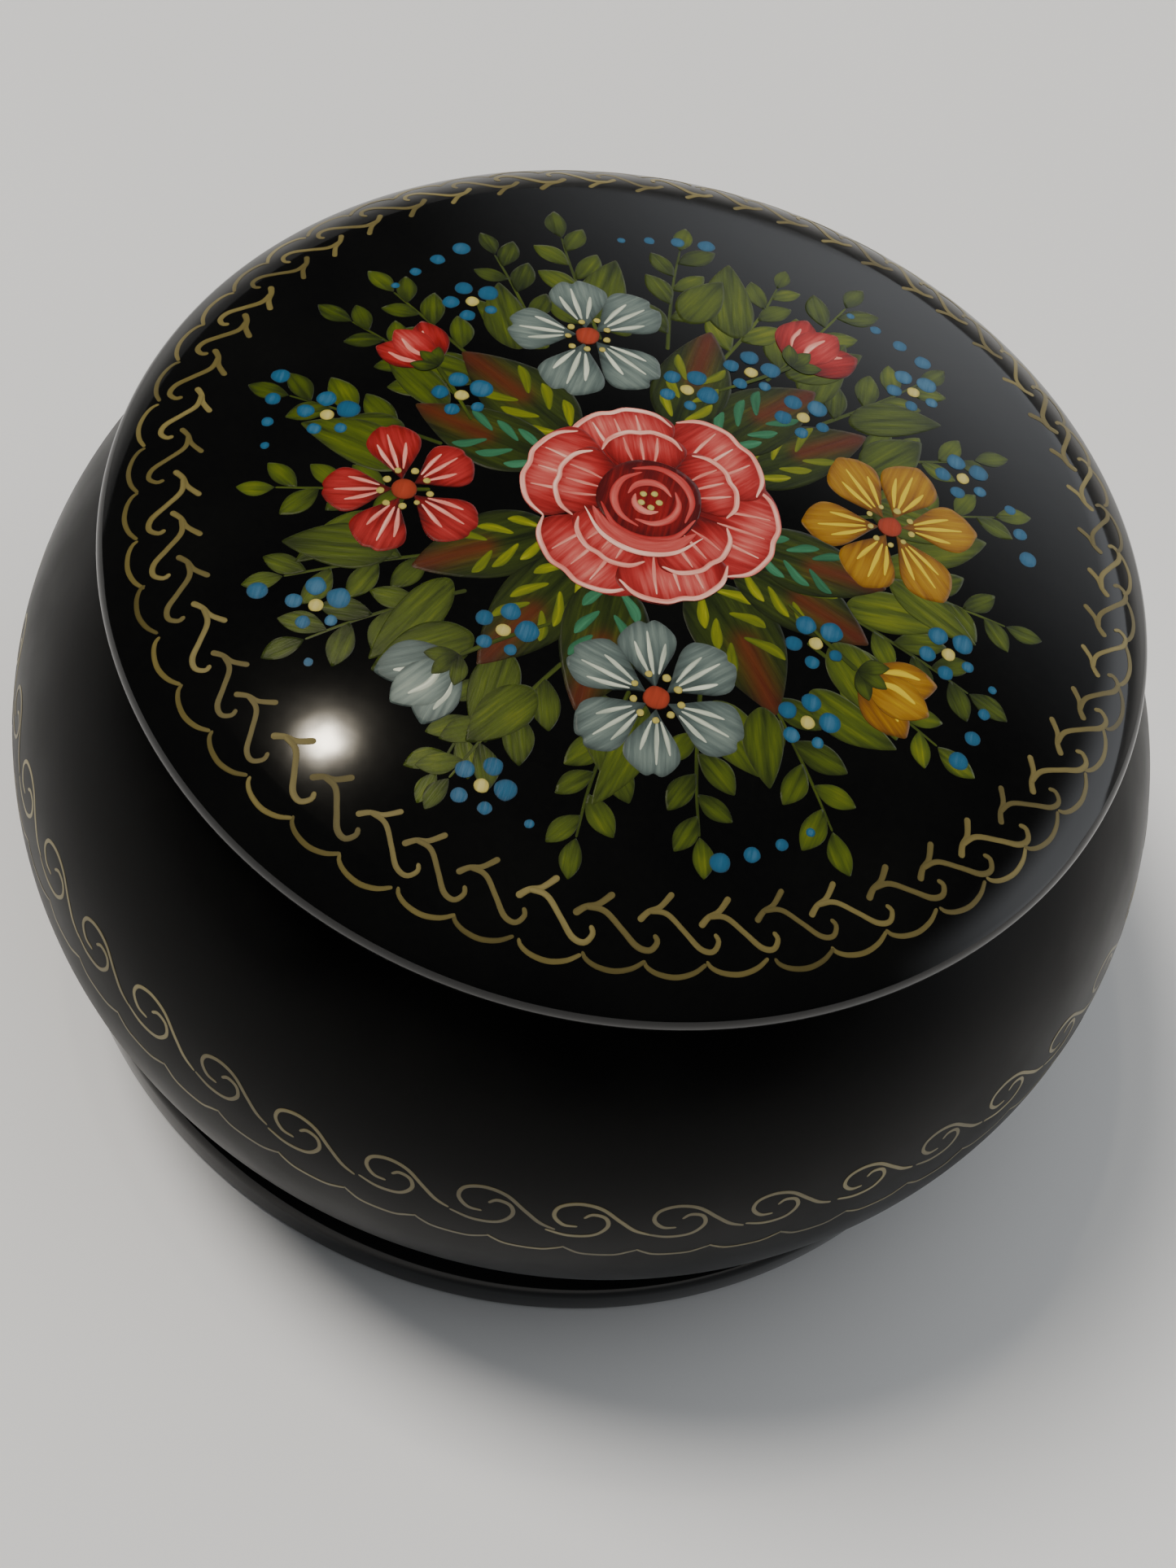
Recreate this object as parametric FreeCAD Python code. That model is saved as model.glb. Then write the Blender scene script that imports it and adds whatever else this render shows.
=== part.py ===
"""Round lacquered box with a lift-off lid: squat turned bowl, low foot ring, domed lid.

Millimetres, +Z up. The axis of every turned piece is the Z axis, and z = 0 is the plane
that the foot stands on. Each piece is a solid of revolution, exported to its own STEP file.
"""
import FreeCAD
import Part

import os
from math import cos, radians, sin, sqrt

# Driving dimensions, mm
BELLY_R = 50.0          # outer radius of the bowl where it is widest
BELLY_Z = 22.5          # height of that widest circle
NECK_R = 41.5           # outer radius of the bowl where it meets the foot
FOOT_H = 5.0            # height of the foot ring
FOOT_R = 46.1           # outer radius of the foot ring
FOOT_HOLE_R = 33.0      # radius of the recess under the box
MOUTH_R = 39.5          # outer radius of the bowl's top edge
MOUTH_Z = 46.65         # height of the bowl's top edge
LID_R = 42.3            # widest radius of the lid
NOSE_R = 1.4            # radius of the lid's rounded edge
LID_GAP = 0.15          # gap between the bowl's top edge and the lid's underside
SHOULDER_R = 37.5       # radius where the lid's rolled shoulder becomes its dome
NOSE_END_SLOPE = 40.0   # slope of the lid's surface where the rounded edge ends, degrees
DOME_EDGE_SLOPE = 10.0  # slope of the dome at its edge, degrees

BELLY_WALL = 4.0        # wall thickness of the bowl at its widest
FLOOR_R = 38.0          # radius of the floor disc
FLOOR_T = 4.0           # thickness of the floor disc
COLLAR_R = 36.0         # outer radius of the collar that locates the lid
COLLAR_WALL = 1.6       # wall thickness of the collar
COLLAR_RISE = 2.15      # height of the collar above the bowl's top edge
COLLAR_SEAT = 4.65      # length of collar glued into the bowl's mouth
COLLAR_CLEARANCE = 0.35  # radial play between the collar and the lid
LID_CEILING_RISE = 2.63  # height of the hollow under the lid, from its edge to its middle

EDGE_ROUND = 0.5        # small rounding on turned edges
FOOT_TOP_ROUND = 2.0    # rounding of the foot's upper edge
FOOT_BASE_ROUND = 0.7   # rounding of the foot's lower edge

DIAGONAL = sqrt(0.5)    # sine and cosine of 45 degrees


def point(radius, height):
    """A point of a profile, in the plane y = 0."""
    return FreeCAD.Vector(radius, 0.0, height)


def line(start, end):
    return Part.LineSegment(point(*start), point(*end)).toShape()


def arc(start, middle, end):
    return Part.Arc(point(*start), point(*middle), point(*end)).toShape()


def turned(edges):
    """The solid that a closed profile sweeps in one full turn about the Z axis."""
    profile = Part.Face(Part.Wire(edges))
    axis_point = FreeCAD.Vector(0.0, 0.0, 0.0)
    axis = FreeCAD.Vector(0.0, 0.0, 1.0)
    return profile.revolve(axis_point, axis, 360.0)


def belly_arc(belly_r, end_r, end_z):
    """Arc with a vertical tangent at the belly, from there to (end_r, end_z).

    Returns its start, middle and end, so that either side can be drawn in either direction.
    """
    rise = end_z - BELLY_Z
    centre_r = (belly_r ** 2 - end_r ** 2 - rise ** 2) / (2.0 * (belly_r - end_r))
    radius = belly_r - centre_r
    middle_z = BELLY_Z + rise / 2.0
    middle_r = centre_r + sqrt(radius ** 2 - (middle_z - BELLY_Z) ** 2)
    return (belly_r, BELLY_Z), (middle_r, middle_z), (end_r, end_z)


def bowl_wall_lower():
    """Lower ring of the bowl's wall, from the foot to the belly, bored for the floor disc."""
    floor_top = FOOT_H + FLOOR_T
    inner_belly_r = BELLY_R - BELLY_WALL
    out_start, out_mid, out_end = belly_arc(BELLY_R, NECK_R, FOOT_H)
    in_start, in_mid, in_end = belly_arc(inner_belly_r, FLOOR_R, floor_top)
    return turned([
        line((FLOOR_R, FOOT_H), out_end),
        arc(out_end, out_mid, out_start),
        line(out_start, in_start),
        arc(in_start, in_mid, in_end),
        line(in_end, (FLOOR_R, FOOT_H)),
    ])


def bowl_wall_upper():
    """Upper ring of the bowl's wall, from the belly to the mouth, with the collar's seat."""
    seat_z = MOUTH_Z - COLLAR_SEAT
    inner_belly_r = BELLY_R - BELLY_WALL
    out_start, out_mid, out_end = belly_arc(BELLY_R, MOUTH_R, MOUTH_Z - EDGE_ROUND)
    in_start, in_mid, in_end = belly_arc(inner_belly_r, COLLAR_R, seat_z)
    round_mid = (MOUTH_R - EDGE_ROUND * (1.0 - DIAGONAL), MOUTH_Z - EDGE_ROUND * (1.0 - DIAGONAL))
    round_end = (MOUTH_R - EDGE_ROUND, MOUTH_Z)
    return turned([
        line(in_start, out_start),
        arc(out_start, out_mid, out_end),
        arc(out_end, round_mid, round_end),
        line(round_end, (COLLAR_R, MOUTH_Z)),
        line((COLLAR_R, MOUTH_Z), in_end),
        arc(in_end, in_mid, in_start),
    ])


def bowl_floor():
    """Flat disc glued into the bottom of the wall."""
    floor_top = FOOT_H + FLOOR_T
    return turned([
        line((0.0, FOOT_H), (FLOOR_R, FOOT_H)),
        line((FLOOR_R, FOOT_H), (FLOOR_R, floor_top)),
        line((FLOOR_R, floor_top), (0.0, floor_top)),
        line((0.0, floor_top), (0.0, FOOT_H)),
    ])


def foot_ring():
    """Low plinth ring under the wall, with a soft upper edge and a recess inside it."""
    base_centre_r = FOOT_R - FOOT_BASE_ROUND
    top_centre_r = FOOT_R - FOOT_TOP_ROUND
    top_centre_z = FOOT_H - FOOT_TOP_ROUND
    base_mid = (base_centre_r + FOOT_BASE_ROUND * DIAGONAL, FOOT_BASE_ROUND * (1.0 - DIAGONAL))
    top_mid = (top_centre_r + FOOT_TOP_ROUND * DIAGONAL, top_centre_z + FOOT_TOP_ROUND * DIAGONAL)
    return turned([
        line((FOOT_HOLE_R, 0.0), (base_centre_r, 0.0)),
        arc((base_centre_r, 0.0), base_mid, (FOOT_R, FOOT_BASE_ROUND)),
        line((FOOT_R, FOOT_BASE_ROUND), (FOOT_R, top_centre_z)),
        arc((FOOT_R, top_centre_z), top_mid, (top_centre_r, FOOT_H)),
        line((top_centre_r, FOOT_H), (FOOT_HOLE_R, FOOT_H)),
        line((FOOT_HOLE_R, FOOT_H), (FOOT_HOLE_R, 0.0)),
    ])


def mouth_collar():
    """Thin ring glued inside the mouth; it stands proud and centres the lid."""
    bottom = MOUTH_Z - COLLAR_SEAT
    top = MOUTH_Z + COLLAR_RISE
    inner_r = COLLAR_R - COLLAR_WALL
    round_centre_r = COLLAR_R - EDGE_ROUND
    round_centre_z = top - EDGE_ROUND
    round_mid = (round_centre_r + EDGE_ROUND * DIAGONAL, round_centre_z + EDGE_ROUND * DIAGONAL)
    return turned([
        line((inner_r, bottom), (COLLAR_R, bottom)),
        line((COLLAR_R, bottom), (COLLAR_R, round_centre_z)),
        arc((COLLAR_R, round_centre_z), round_mid, (round_centre_r, top)),
        line((round_centre_r, top), (inner_r, top)),
        line((inner_r, top), (inner_r, bottom)),
    ])


def nose_point(slope_degrees):
    """Point of the lid's rounded edge where its surface slopes down by the given angle."""
    nose_z = MOUTH_Z + LID_GAP + NOSE_R
    angle = radians(slope_degrees)
    return LID_R - NOSE_R + NOSE_R * sin(angle), nose_z + NOSE_R * cos(angle)


def lid_rim():
    """Ring glued under the lid plate: the lower part of the lid's rounded edge."""
    inner_r = COLLAR_R + COLLAR_CLEARANCE
    bottom = MOUTH_Z + LID_GAP
    split = nose_point(NOSE_END_SLOPE)
    widest = (LID_R, bottom + NOSE_R)
    bottom_edge = (LID_R - NOSE_R, bottom)
    return turned([
        line((inner_r, bottom), bottom_edge),
        arc(bottom_edge, nose_point(135.0), widest),
        arc(widest, nose_point((90.0 + NOSE_END_SLOPE) / 2.0), split),
        line(split, (inner_r, split[1])),
        line((inner_r, split[1]), (inner_r, bottom)),
    ])


def lid_plate():
    """Domed disc of the lid: rolled shoulder, gentle dome, shallow hollow underneath."""
    inner_r = COLLAR_R + COLLAR_CLEARANCE
    edge_r, edge_z = nose_point(NOSE_END_SLOPE)
    steep = radians(NOSE_END_SLOPE)
    gentle = radians(DOME_EDGE_SLOPE)
    roll_r = (edge_r - SHOULDER_R) / (sin(steep) - sin(gentle))
    roll_centre = (edge_r - roll_r * sin(steep), edge_z - roll_r * cos(steep))
    halfway = (steep + gentle) / 2.0
    roll_mid = (roll_centre[0] + roll_r * sin(halfway), roll_centre[1] + roll_r * cos(halfway))
    roll_end = (SHOULDER_R, roll_centre[1] + roll_r * cos(gentle))
    dome_r = SHOULDER_R / sin(gentle)
    dome_centre_z = roll_end[1] - dome_r * cos(gentle)
    dome_mid = (dome_r * sin(gentle / 2.0), dome_centre_z + dome_r * cos(gentle / 2.0))
    apex = (0.0, dome_centre_z + dome_r)
    ceiling_radius = (inner_r ** 2 + LID_CEILING_RISE ** 2) / (2.0 * LID_CEILING_RISE)
    ceiling_top = edge_z + LID_CEILING_RISE
    half_r = inner_r / 2.0
    ceiling_mid_z = ceiling_top - ceiling_radius + sqrt(ceiling_radius ** 2 - half_r ** 2)
    return turned([
        line((inner_r, edge_z), (edge_r, edge_z)),
        arc((edge_r, edge_z), roll_mid, roll_end),
        arc(roll_end, dome_mid, apex),
        line(apex, (0.0, ceiling_top)),
        arc((0.0, ceiling_top), (half_r, ceiling_mid_z), (inner_r, edge_z)),
    ])


PIECES = {
    "bowl_wall_lower": bowl_wall_lower,
    "bowl_wall_upper": bowl_wall_upper,
    "bowl_floor": bowl_floor,
    "foot_ring": foot_ring,
    "mouth_collar": mouth_collar,
    "lid_rim": lid_rim,
    "lid_plate": lid_plate,
}

os.makedirs("parts", exist_ok=True)
for name, make in PIECES.items():
    solid = make()
    box = solid.optimalBoundingBox()
    print(name, "valid", solid.isValid(), "volume %.0f" % solid.Volume,
          "radius %.2f" % box.XMax, "z %.2f to %.2f" % (box.ZMin, box.ZMax))
    solid.exportStep("parts/" + name + ".step")
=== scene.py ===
"""Looks of the round lacquered box: smooth turned pieces, gold borders and a painted bouquet.

Lengths in the tables are millimetres in the box's own frame (x to the right, y to the back,
z up) and are turned into metres where a mesh is made. The paint is geometry: every brush
stroke is a thin raised patch that lies on the lacquer and rides on the lid or on the bowl.
"""

import math
import random

import bpy
import numpy as np
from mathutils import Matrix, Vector


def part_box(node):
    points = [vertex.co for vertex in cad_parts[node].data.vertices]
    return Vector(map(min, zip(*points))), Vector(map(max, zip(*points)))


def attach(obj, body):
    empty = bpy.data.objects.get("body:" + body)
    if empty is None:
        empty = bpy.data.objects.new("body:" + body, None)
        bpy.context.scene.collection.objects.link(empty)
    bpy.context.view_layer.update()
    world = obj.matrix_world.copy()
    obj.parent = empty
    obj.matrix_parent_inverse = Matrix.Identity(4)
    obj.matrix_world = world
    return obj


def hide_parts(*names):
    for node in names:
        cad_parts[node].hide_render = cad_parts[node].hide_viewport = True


MM = 0.001
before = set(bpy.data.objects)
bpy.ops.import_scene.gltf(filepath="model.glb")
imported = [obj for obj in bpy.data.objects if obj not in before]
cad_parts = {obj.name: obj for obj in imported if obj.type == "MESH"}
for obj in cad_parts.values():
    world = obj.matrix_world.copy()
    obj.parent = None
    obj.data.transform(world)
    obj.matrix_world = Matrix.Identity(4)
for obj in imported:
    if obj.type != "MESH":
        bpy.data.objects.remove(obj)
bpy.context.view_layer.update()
random.seed(11)


# ---------------------------------------------------------------- shape of the turned pieces
def extent(node):
    """Outer radius, lowest z and highest z of a CAD node, to the nearest 0.0001 mm."""
    low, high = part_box(node)
    return [round(value / MM, 4) for value in (high.x, low.z, high.z)]


BELLY_R, BELLY_Z, MOUTH_Z = extent("bowl_wall_upper")
FOOT_R, _, FOOT_H = extent("foot_ring")
FLOOR_R, _, FLOOR_TOP = extent("bowl_floor")
COLLAR_R, COLLAR_BOTTOM, COLLAR_TOP = extent("mouth_collar")
LID_R, LID_BOTTOM, _ = extent("lid_rim")
# Sizes of the CAD nodes that their boxes don't show.
NECK_R, FOOT_HOLE_R, MOUTH_R, SHOULDER_R, NOSE_R = 41.5, 33.0, 39.5, 37.5, 1.4
NOSE_END_SLOPE, DOME_EDGE_SLOPE = 40.0, 10.0
BELLY_WALL, COLLAR_WALL, COLLAR_CLEARANCE, LID_CEILING_RISE = 4.0, 1.6, 0.35, 2.63
EDGE_ROUND, FOOT_BASE_ROUND, FOOT_TOP_ROUND = 0.5, 0.7, 2.0
# Choices of this model alone.
COLLAR_INNER_ROUND = 0.3
CORNER_STEPS = 4     # faces across each corner of the collar's profile that is rounded
SEGMENTS = 288       # points round every turned piece
ON_AXIS = 1e-6       # a smaller radius than this is a point on the axis
SHARP_ANGLE = 35.0   # edges that bend by more than this stay sharp, degrees

NOSE_Z = LID_BOTTOM + NOSE_R
STEEP = math.radians(NOSE_END_SLOPE)
GENTLE = math.radians(DOME_EDGE_SLOPE)
EDGE_LID_R = LID_R - NOSE_R + NOSE_R * math.sin(STEEP)
EDGE_LID_Z = NOSE_Z + NOSE_R * math.cos(STEEP)
ROLL_R = (EDGE_LID_R - SHOULDER_R) / (math.sin(STEEP) - math.sin(GENTLE))
ROLL_CENTRE_R = EDGE_LID_R - ROLL_R * math.sin(STEEP)
ROLL_CENTRE_Z = EDGE_LID_Z - ROLL_R * math.cos(STEEP)
DOME_R = SHOULDER_R / math.sin(GENTLE)
DOME_CENTRE_Z = ROLL_CENTRE_Z + ROLL_R * math.cos(GENTLE) - DOME_R * math.cos(GENTLE)


def arc(centre, radius, start, end, count):
    """Points (radius, height) of an arc; angles in degrees, measured up from the +r axis."""
    angles = [math.radians(start + (end - start) * i / count) for i in range(count + 1)]
    return [(centre[0] + radius * math.cos(a), centre[1] + radius * math.sin(a)) for a in angles]


def belly_circle(belly_r, end_r, end_z):
    """Circle that is vertical at the belly and passes (end_r, end_z): its middle and radius."""
    rise = end_z - BELLY_Z
    centre_r = (belly_r ** 2 - end_r ** 2 - rise ** 2) / (2.0 * (belly_r - end_r))
    return centre_r, belly_r - centre_r


def belly(belly_r, end_r, end_z, count):
    """Arc that is vertical at the belly and ends at (end_r, end_z)."""
    centre_r, radius = belly_circle(belly_r, end_r, end_z)
    end = math.degrees(math.atan2(end_z - BELLY_Z, end_r - centre_r))
    return arc((centre_r, BELLY_Z), radius, 0.0, end, count)


def rounded(points, radius):
    """Closed profile with every corner that has a radius above 0 replaced by a small curve."""
    out = []
    total = len(points)
    for i, corner in enumerate(points):
        if radius[i] <= 0:
            out.append(corner)
            continue
        before = points[i - 1]
        after = points[(i + 1) % total]
        a = toward(corner, before, radius[i])
        b = toward(corner, after, radius[i])
        for k in range(CORNER_STEPS + 1):
            t = k / CORNER_STEPS
            out.append(tuple((1 - t) ** 2 * a[j] + 2 * t * (1 - t) * corner[j] + t * t * b[j]
                             for j in range(2)))
    return out


def toward(start, end, distance):
    """Point at a distance from start on the way to end."""
    length = math.dist(start, end)
    return tuple(start[j] + (end[j] - start[j]) * distance / length for j in range(2))


def make_mesh(name, vertices, faces, material, attributes=None):
    """Object from vertices in millimetres, with named float attributes on its points."""
    mesh = bpy.data.meshes.new(name)
    mesh.from_pydata((np.asarray(vertices) * MM).tolist(), [], faces)
    for key, values in (attributes or {}).items():
        layer = mesh.attributes.new(key, "FLOAT", "POINT")
        layer.data.foreach_set("value", np.asarray(values, np.float32))
    mesh.shade_smooth()
    mesh.set_sharp_from_angle(angle=math.radians(SHARP_ANGLE))
    mesh.materials.append(material)
    piece = bpy.data.objects.new(name, mesh)
    bpy.context.scene.collection.objects.link(piece)
    return piece


def turned(name, profile, material, lined=0):
    """Closed profile swept about the z axis. Points on the axis become one pole vertex.

    lined: how many points at the profile's end belong to the red lining."""
    vertices, rings, faces, lining = [], [], [], []
    for index, (radius, height) in enumerate(profile):
        first = len(vertices)
        if radius < ON_AXIS:
            rings.append([first] * SEGMENTS)
            vertices.append((0.0, 0.0, height))
        else:
            rings.append(list(range(first, first + SEGMENTS)))
            for k in range(SEGMENTS):
                a = 2 * math.pi * k / SEGMENTS
                vertices.append((radius * math.cos(a), radius * math.sin(a), height))
        lining += [float(index >= len(profile) - lined)] * (len(vertices) - first)
    for i, low in enumerate(rings):
        high = rings[(i + 1) % len(rings)]
        if low[0] == low[1] and high[0] == high[1]:
            continue
        for k in range(SEGMENTS):
            m = (k + 1) % SEGMENTS
            quad = [low[k], low[m], high[m], high[k]]
            faces.append(list(dict.fromkeys(quad)))
    return make_mesh(name, vertices, faces, material, {"lining": lining})


def bowl_outer_radius(height):
    """Outer radius of the bowl's wall at a height."""
    end_r, end_z = (MOUTH_R, MOUTH_Z - EDGE_ROUND) if height > BELLY_Z else (NECK_R, FOOT_H)
    centre_r, radius = belly_circle(BELLY_R, end_r, end_z)
    return centre_r + np.sqrt(np.maximum(radius ** 2 - (height - BELLY_Z) ** 2, 0.0))


def lid_height(radius):
    """Height of the lid's upper surface at a radius, for numpy arrays."""
    radius = np.asarray(radius, float)
    dome = DOME_CENTRE_Z + np.sqrt(DOME_R ** 2 - np.minimum(radius, SHOULDER_R) ** 2)
    roll = ROLL_CENTRE_Z + np.sqrt(np.maximum(ROLL_R ** 2 - (radius - ROLL_CENTRE_R) ** 2, 0.0))
    return np.where(radius <= SHOULDER_R, dome, roll)


# ---------------------------------------------------------------- materials
def srgb(red, green, blue):
    """Linear colour from 0-255 sRGB values."""
    def linear(value):
        value = value / 255.0
        return value / 12.92 if value <= 0.04045 else ((value + 0.055) / 1.055) ** 2.4
    return (linear(red), linear(green), linear(blue), 1.0)


class Nodes:
    """Makes and joins the shader nodes of a material or of the world, which is its owner."""

    def __init__(self, owner, shader="Principled BSDF"):
        owner.use_nodes = True
        self.owner = owner
        self.tree = owner.node_tree
        self.shader = self.tree.nodes[shader]

    def plug(self, value, socket):
        """Links another node's output to a socket, or sets a plain value on it."""
        if isinstance(value, bpy.types.NodeSocket):
            self.tree.links.new(value, socket)
        else:
            socket.default_value = value

    def add(self, kind, inputs=None, **settings):
        node = self.tree.nodes.new(kind)
        for key, value in settings.items():
            setattr(node, key, value)
        for key, value in (inputs or {}).items():
            self.plug(value, node.inputs[key])
        return node

    def set(self, **values):
        """Inputs of the shader itself, with _ for each space in their names."""
        for key, value in values.items():
            self.plug(value, self.shader.inputs[key.replace("_", " ")])

    def math(self, operation, *values, clamp=False):
        return self.add("ShaderNodeMath", dict(enumerate(values)), operation=operation,
                        use_clamp=clamp).outputs[0]

    def ramp(self, factor, stops):
        node = self.add("ShaderNodeValToRGB", {0: factor})
        elements = node.color_ramp.elements
        while len(elements) < len(stops):
            elements.new(0.5)
        for element, (position, colour) in zip(elements, stops):
            element.position = position
            element.color = colour
        return node.outputs[0]

    def mix(self, factor, a, b):
        """Mix of two colours, whose sockets are numbers 6 and 7 on the node."""
        return self.add("ShaderNodeMix", {0: factor, 6: a, 7: b}, data_type="RGBA").outputs[2]

    def place(self):
        """Where on the object a point lies, in metres."""
        return self.add("ShaderNodeTexCoord").outputs["Object"]

    def attribute(self, name):
        return self.add("ShaderNodeAttribute", attribute_name=name).outputs["Fac"]

    def noise(self, place, scale, detail, roughness=0.5):
        inputs = {"Vector": place, "Scale": scale, "Detail": detail, "Roughness": roughness}
        return self.add("ShaderNodeTexNoise", inputs).outputs[0]

    def fade(self, value, dark, light):
        """0 where the value is at dark, 1 where it is at light."""
        return self.add("ShaderNodeMapRange", {"Value": value, "From Min": dark,
                                               "From Max": light},
                        interpolation_type="SMOOTHSTEP").outputs[0]

    def bump(self, height, strength, distance):
        return self.add("ShaderNodeBump", {"Height": height, "Strength": strength,
                                           "Distance": distance}).outputs[0]


RIPPLE_DEPTH = 0.0004                                     # metres
HAIR_DEPTH = 0.00006                                      # metres
DARK_RED, LIGHT_RED = srgb(104, 18, 12), srgb(138, 30, 18)   # the lacquer inside the bowl
BARE = srgb(22, 20, 18)                                   # shows where paint is rubbed thin


def lacquer(name, dark, light, roughness, ripple, shine=0.5):
    """Lacquer with faint clouds in its colour and sheen, and a faint ripple. It is red where
    the lining attribute is 1."""
    n = Nodes(bpy.data.materials.new(name))
    place = n.place()
    cloud = n.noise(place, 90.0, 5.0)
    speck = n.noise(place, 1700.0, 2.0)
    both = n.math("ADD", n.math("MULTIPLY", speck, 0.35), cloud)
    outside = n.ramp(both, [(0.45, dark), (0.95, light)])
    inside = n.ramp(both, [(0.45, DARK_RED), (0.95, LIGHT_RED)])
    sheen = n.add("ShaderNodeMapRange", {"Value": cloud, "From Min": 0.3, "From Max": 0.7,
                                         "To Min": roughness * 0.85, "To Max": roughness * 1.2})
    n.set(Base_Color=n.mix(n.attribute("lining"), outside, inside), Roughness=sheen.outputs[0],
          Specular_IOR_Level=shine,
          Normal=n.bump(n.noise(place, 260.0, 2.0), ripple, RIPPLE_DEPTH))
    return n.owner


def paint(name, stops, blush, roughness=0.3, streak=0.35, thin=0.55):
    """Brush paint. Its tone runs along a colour ramp and is broken up by streaks that follow
    the stroke; a blush colour mixes in, and the paint thins to the black at its rim."""
    n = Nodes(bpy.data.materials.new(name))
    along = n.math("MULTIPLY", n.attribute("along"), 0.22)
    across = n.math("MULTIPLY", n.attribute("across"), 2.6)
    on_stroke = n.add("ShaderNodeCombineXYZ", {0: along, 1: across, 2: n.attribute("seed")})
    hairs = n.noise(on_stroke.outputs[0], 1.0, 4.0, roughness=0.6)
    shift = n.math("MULTIPLY", n.math("SUBTRACT", hairs, 0.5), streak * 2.0)
    rim = n.attribute("rim")
    worn = n.math("MULTIPLY", n.math("POWER", rim, 3.0), -0.22)
    tone = n.math("ADD", n.math("ADD", n.attribute("tone"), shift), worn)
    amount = n.attribute("blush")
    tint = n.math("MULTIPLY", n.math("MULTIPLY_ADD", shift, 0.9, amount), amount, clamp=True)
    tinted = n.mix(tint, n.ramp(tone, stops), blush)
    grain = n.noise(n.place(), 2600.0, 2.0)
    bare = n.math("MULTIPLY", n.math("POWER", rim, 9.0), n.math("ADD", grain, 0.25), clamp=True)
    relief = n.math("ADD", hairs, n.math("MULTIPLY", grain, 0.25))
    n.set(Base_Color=n.mix(n.math("MULTIPLY", bare, thin), tinted, BARE), Roughness=roughness,
          Normal=n.bump(relief, 0.35, HAIR_DEPTH))
    return n.owner


BLACK_GLOSS = lacquer("lid_black", srgb(4, 4, 4), srgb(9, 9, 8), 0.08, 0.012, shine=0.42)
BLACK_SATIN = lacquer("bowl_black", srgb(4, 4, 4), srgb(9, 9, 8), 0.36, 0.02, shine=0.08)
BLACK_FOOT = lacquer("foot_black", srgb(4, 4, 4), srgb(8, 8, 8), 0.1, 0.012, shine=0.3)
RED_INSIDE = lacquer("inside_red", DARK_RED, LIGHT_RED, 0.32, 0.03)

GOLD = paint("gold_paint", [(0.0, srgb(52, 46, 20)), (0.5, srgb(94, 84, 42)),
                            (1.0, srgb(142, 130, 80))], srgb(80, 64, 28), roughness=0.36,
             streak=0.22, thin=0.15)
ROSE = paint("rose_paint", [(0.0, srgb(70, 4, 6)), (0.22, srgb(118, 12, 10)),
                            (0.42, srgb(150, 34, 32)), (0.62, srgb(172, 74, 68)),
                            (0.82, srgb(196, 122, 108)), (1.0, srgb(220, 178, 162))],
             srgb(146, 36, 12))
WHITE = paint("white_paint", [(0.0, srgb(44, 54, 52)), (0.3, srgb(78, 90, 86)),
                              (0.5, srgb(106, 118, 110)), (0.75, srgb(142, 150, 134)),
                              (1.0, srgb(194, 198, 178))], srgb(134, 118, 36))
YELLOW = paint("yellow_paint", [(0.0, srgb(58, 30, 2)), (0.3, srgb(106, 66, 2)),
                                (0.5, srgb(130, 90, 1)), (0.72, srgb(148, 114, 2)),
                                (1.0, srgb(186, 162, 24))], srgb(106, 54, 2))
LEAF = paint("leaf_paint", [(0.0, srgb(16, 24, 4)), (0.25, srgb(38, 48, 6)),
                            (0.5, srgb(64, 76, 8)), (0.75, srgb(96, 102, 8)),
                            (1.0, srgb(146, 144, 24))], srgb(94, 28, 6))
TEAL = paint("teal_paint", [(0.0, srgb(14, 44, 26)), (0.5, srgb(42, 94, 64)),
                            (1.0, srgb(80, 140, 106))], srgb(94, 28, 6))
BLUE = paint("blue_paint", [(0.0, srgb(8, 36, 54)), (0.5, srgb(28, 76, 104)),
                            (1.0, srgb(86, 128, 152))], srgb(132, 142, 152), streak=0.2)
CENTRE = paint("centre_paint", [(0.0, srgb(56, 24, 4)), (0.5, srgb(142, 48, 24)),
                                (1.0, srgb(182, 92, 58))], srgb(70, 44, 4), streak=0.2)
CREAM = paint("cream_paint", [(0.0, srgb(88, 74, 14)), (0.5, srgb(162, 150, 74)),
                              (1.0, srgb(202, 194, 138))], srgb(152, 132, 10), streak=0.2)

# ---------------------------------------------------------------- turned pieces
wall_upper = belly(BELLY_R, MOUTH_R, MOUTH_Z - EDGE_ROUND, 40)
wall_lower = belly(BELLY_R, NECK_R, FOOT_H, 32)
inner_upper = belly(BELLY_R - BELLY_WALL, COLLAR_R, COLLAR_BOTTOM, 28)
inner_lower = belly(BELLY_R - BELLY_WALL, FLOOR_R, FLOOR_TOP, 24)
lip = arc((MOUTH_R - EDGE_ROUND, MOUTH_Z - EDGE_ROUND), EDGE_ROUND, 0.0, 90.0, 5)
bowl_profile = ([(FLOOR_R, FOOT_H)] + wall_lower[::-1] + wall_upper[1:-1] + lip
                + [(COLLAR_R, MOUTH_Z)] + inner_upper[::-1] + inner_lower[1:])
foot_base = arc((FOOT_R - FOOT_BASE_ROUND, FOOT_BASE_ROUND), FOOT_BASE_ROUND, -90.0, 0.0, 5)
foot_top = arc((FOOT_R - FOOT_TOP_ROUND, FOOT_H - FOOT_TOP_ROUND), FOOT_TOP_ROUND, 0.0, 90.0, 10)
foot_profile = [(FOOT_HOLE_R, 0.0)] + foot_base + foot_top + [(FOOT_HOLE_R, FOOT_H)]
collar_profile = rounded(
    [(COLLAR_R - COLLAR_WALL, COLLAR_BOTTOM), (COLLAR_R, COLLAR_BOTTOM),
     (COLLAR_R, COLLAR_TOP), (COLLAR_R - COLLAR_WALL, COLLAR_TOP)],
    [0, 0, EDGE_ROUND, COLLAR_INNER_ROUND])
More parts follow.
